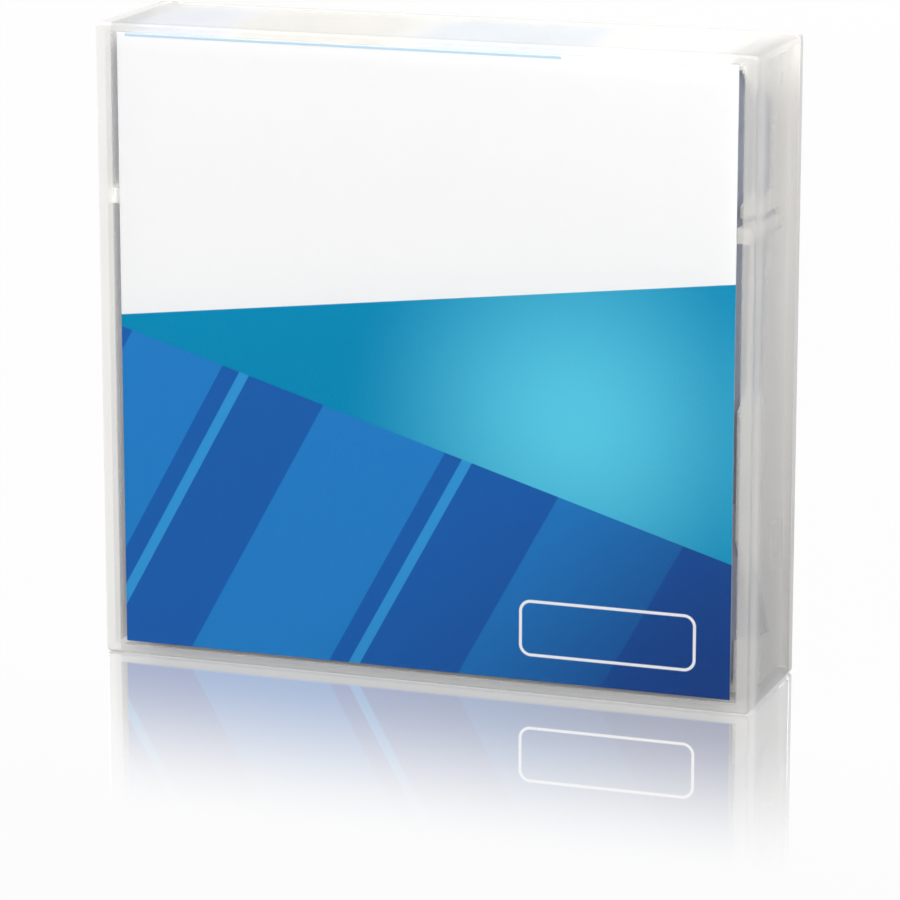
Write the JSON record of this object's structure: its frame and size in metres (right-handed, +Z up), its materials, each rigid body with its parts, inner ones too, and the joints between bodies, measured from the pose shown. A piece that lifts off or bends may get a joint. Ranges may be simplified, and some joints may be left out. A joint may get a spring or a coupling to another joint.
{
  "type": "data tape cartridge in case",
  "caption": "Half-inch data tape cartridge with reel, brake, sliding door and leader pin, standing in a hinged frosted case with a printed insert card.",
  "frame": {"origin": "middle of the case's footprint, on the surface that it stands on", "axes": "+Z up, -Y out of the window, +X to the right when facing the window"},
  "size_m": [0.114, 0.0276, 0.1084],
  "materials": {
    "clear_polymer": "moulded translucent plastic, frosted walls, polished window",
    "frosted_polymer": "moulded translucent plastic, frosted",
    "printed_card": null,
    "cartridge_shell": "fine textured moulded plastic",
    "plated_steel": "bright plated",
    "reel_plastic": "moulded",
    "magnetic_tape": "wound tape edges",
    "pale_plastic": "moulded",
    "spring_steel": "drawn wire",
    "chip_board": "small coated board",
    "slide_plastic": "moulded"
  },
  "bodies": {
    "tray": {"case_tray": "frosted_polymer", "upper_shell": "cartridge_shell", "lower_shell": "cartridge_shell", "shell_screws": "plated_steel", "tape_end": "magnetic_tape", "leader_pin": "plated_steel", "leader_clip": "pale_plastic", "leader_spring": "spring_steel", "brake_spring": "spring_steel", "door_spring": "spring_steel", "memory_chip": "chip_board"},
    "cover": {"case_cover": "clear_polymer", "insert_card": "printed_card"},
    "reel": {"reel_hub": "reel_plastic", "reel_flange": "reel_plastic", "clutch_washer": "plated_steel", "tape_pack": "magnetic_tape"},
    "release": {"release_plate": "pale_plastic"},
    "brake": {"brake_button": "pale_plastic"},
    "door": {"access_door": "cartridge_shell"},
    "slide": {"write_protect_tab": "slide_plastic"}
  },
  "joints": [
    {"name": "cover_hinge", "type": "hinge", "parent": "tray", "child": "cover", "pos_m": [-0.055, 0.0118, 0.0542], "axis": [0, 0, -1], "range_deg": [0, 180]},
    {"name": "reel_spin", "type": "hinge", "parent": "tray", "child": "reel", "pos_m": [0.0014, 0, 0.0537], "axis": [0, 1, 0], "continuous": true},
    {"name": "brake_lift", "type": "slide", "parent": "tray", "child": "brake", "axis": [0, -1, 0], "range_m": [0, 0.0016], "stiffness_N_per_m": 300, "springref_m": -0.01, "deforming": ["brake_spring"]},
    {"name": "release_lift", "type": "slide", "parent": "reel", "child": "release", "axis": [0, -1, 0], "range_m": [0, 0.0016]},
    {"name": "door_slide", "type": "slide", "parent": "tray", "child": "door", "axis": [1, 0, 0], "range_m": [0, 0.019], "stiffness_N_per_m": 10, "springref_m": -0.01, "deforming": ["door_spring"]},
    {"name": "protect_slide", "type": "slide", "parent": "tray", "child": "slide", "axis": [0, 0, 1], "range_m": [0, 0.004]}
  ],
  "couplings": [
    {"joint": "release_lift", "follows": "brake_lift", "ratio": 1}
  ]
}
